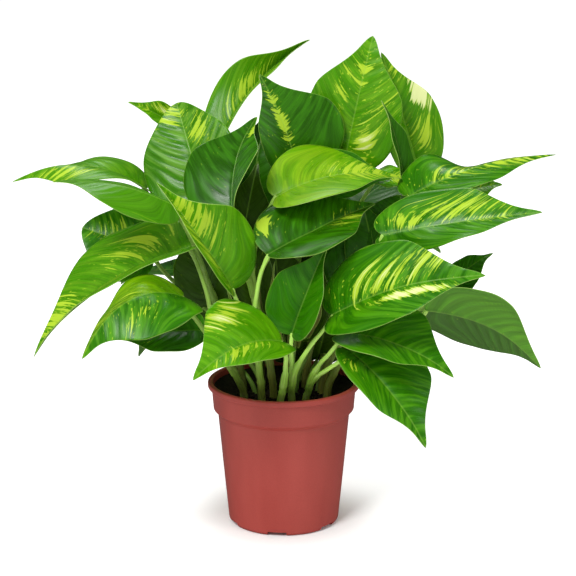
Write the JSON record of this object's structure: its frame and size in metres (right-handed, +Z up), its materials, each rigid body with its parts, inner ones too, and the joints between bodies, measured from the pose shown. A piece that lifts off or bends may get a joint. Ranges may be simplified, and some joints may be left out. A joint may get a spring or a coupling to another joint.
{
  "type": "potted pothos plant",
  "caption": "Bushy pothos with glossy heart-shaped leaves, some streaked yellow, on bare stalks from peat in a round rimmed terracotta-coloured plastic nursery pot with drain notches.",
  "frame": {"origin": "on the pot's axis, at the level of the face the pot stands on", "axes": "+Z up along the pot's axis, -Y towards the plant's best side, +X to the right as seen from there"},
  "size_m": [0.4222, 0.3033, 0.3801],
  "materials": {
    "pot": "moulded satin, terracotta red",
    "peat": "loose and fibrous, near black",
    "stem": "living stem, fresh green with a soft sheen",
    "leaf_plain": "waxy leaf, plain mid green",
    "leaf_dark": "waxy leaf, dark green",
    "leaf_bright": "waxy leaf, light yellow-green",
    "leaf_streaked": "waxy leaf, green with yellow-green and cream streaks along its veins"
  },
  "bodies": {
    "root": {"pot": "pot", "soil": "peat", "stem_front": "stem", "stem_front_right": "stem", "stem_right_low": "stem", "stem_front_left": "stem", "stem_left_low": "stem", "stem_left": "stem", "stem_middle": "stem", "stem_left_back": "stem", "stem_centre": "stem", "stem_right_back": "stem", "stem_right_high": "stem", "stem_right": "stem", "stem_back_right": "stem", "stem_back": "stem", "stem_back_left": "stem", "leaf_left_top_back": "leaf_bright", "leaf_left_round": "leaf_streaked", "leaf_left_tall": "leaf_bright", "leaf_left_centre": "leaf_plain", "leaf_far_left": "leaf_plain", "leaf_left_middle": "leaf_plain", "leaf_front_slant": "leaf_streaked", "leaf_left_shaded": "leaf_streaked", "leaf_left_large": "leaf_plain", "leaf_left_curled": "leaf_bright", "leaf_left_low": "leaf_dark", "leaf_front_low": "leaf_plain", "leaf_front_small": "leaf_dark", "leaf_centre": "leaf_plain", "leaf_centre_bright": "leaf_bright", "leaf_centre_dark": "leaf_dark", "leaf_centre_behind": "leaf_streaked", "leaf_top_dark": "leaf_dark", "leaf_shaded_middle": "leaf_dark", "leaf_top_tall": "leaf_streaked", "leaf_top_back": "leaf_streaked", "leaf_top_rolled": "leaf_dark", "leaf_right_high": "leaf_streaked", "leaf_right_behind": "leaf_dark", "leaf_right_inner": "leaf_dark", "leaf_right_upper": "leaf_streaked", "leaf_right_hidden": "leaf_dark", "leaf_front_large": "leaf_streaked", "leaf_right_underside": "leaf_plain", "leaf_right_plain": "leaf_plain", "leaf_right_low": "leaf_dark", "leaf_back_high_left": "leaf_plain", "leaf_back_high": "leaf_streaked", "leaf_back_high_right": "leaf_plain", "leaf_back_far_left": "leaf_streaked", "leaf_back_middle_left": "leaf_plain", "leaf_back_middle": "leaf_streaked", "leaf_back_middle_right": "leaf_bright", "leaf_back_far_right": "leaf_plain", "leaf_back_low_left": "leaf_plain", "leaf_back_low_middle_left": "leaf_streaked", "leaf_back_low_middle": "leaf_plain", "leaf_back_low_right": "leaf_streaked"}
  },
  "joints": []
}
